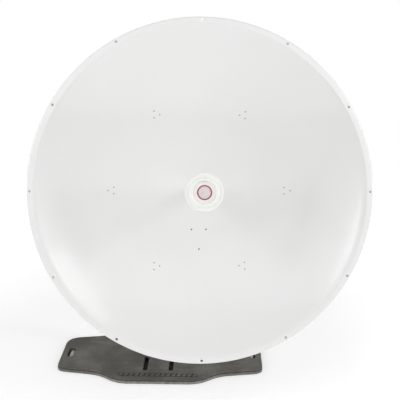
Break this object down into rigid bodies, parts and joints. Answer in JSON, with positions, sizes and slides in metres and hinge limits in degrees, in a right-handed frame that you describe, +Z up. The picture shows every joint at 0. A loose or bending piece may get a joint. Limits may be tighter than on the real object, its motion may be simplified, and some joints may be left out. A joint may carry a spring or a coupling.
{
  "type": "microwave dish antenna on a pole stand",
  "caption": "Solid parabolic dish with a front feed head, tilting on a ring and rail frame clamped to a short pole on a flat moulded foot plate.",
  "frame": {"origin": "on the ground, at the middle of the foot plate's underside, under the pole's axis", "axes": "+Z up along the pole, -Y the heading in which the dish looks, +X to the right of someone who looks into the dish"},
  "size_m": [1.223, 0.8245, 1.4763],
  "materials": {
    "white_paint": "glossy white powder coat on spun aluminium",
    "cream_plastic": "satin moulded plastic",
    "label": "plain pale disc with a red ring",
    "galvanised_steel": "hot-dip galvanised",
    "bright_steel": "zinc-plated fasteners",
    "cast_alloy": "as-cast aluminium",
    "recycled_plastic": "matte mottled recycled moulding",
    "black_plastic": "matte black cap"
  },
  "bodies": {
    "stand": {"foot_plate": "recycled_plastic", "socket_flange": "galvanised_steel", "pole_socket": "galvanised_steel", "left_rib": "galvanised_steel", "right_rib": "galvanised_steel", "stand_pole": "galvanised_steel", "pole_cap": "black_plastic"},
    "pan_head": {"pan_plate": "galvanised_steel", "upper_saddle": "cast_alloy", "lower_saddle": "cast_alloy", "upper_jaw": "cast_alloy", "lower_jaw": "cast_alloy", "clamp_bolt_1": "bright_steel", "clamp_bolt_2": "bright_steel", "clamp_bolt_3": "bright_steel", "clamp_bolt_4": "bright_steel", "upper_beam": "galvanised_steel", "lower_beam": "galvanised_steel", "left_ear": "galvanised_steel", "right_ear": "galvanised_steel"},
    "dish": {"reflector": "white_paint", "feed_tube": "cream_plastic", "feed_cone": "cream_plastic", "feed_disc": "cream_plastic", "feed_cap": "cream_plastic", "feed_label": "label", "hub": "cast_alloy", "hub_plate": "galvanised_steel", "back_ring": "galvanised_steel", "ring_foot_1": "cast_alloy", "ring_foot_2": "cast_alloy", "ring_foot_3": "cast_alloy", "ring_foot_4": "cast_alloy", "ring_foot_5": "cast_alloy", "ring_foot_6": "cast_alloy", "left_rail": "galvanised_steel", "right_rail": "galvanised_steel", "left_lug": "galvanised_steel", "right_lug": "galvanised_steel", "left_pivot": "bright_steel", "right_pivot": "bright_steel", "left_lock_bolt": "bright_steel", "right_lock_bolt": "bright_steel"}
  },
  "joints": [
    {"name": "pan", "type": "hinge", "parent": "stand", "child": "pan_head", "pos_m": [0, 0, 0.8], "axis": [0, 0, 1], "range_deg": [-180, 180]},
    {"name": "tilt", "type": "hinge", "parent": "pan_head", "child": "dish", "pos_m": [0.153, -0.108, 0.8], "axis": [-1, 0, 0], "range_deg": [-20, 15]}
  ]
}
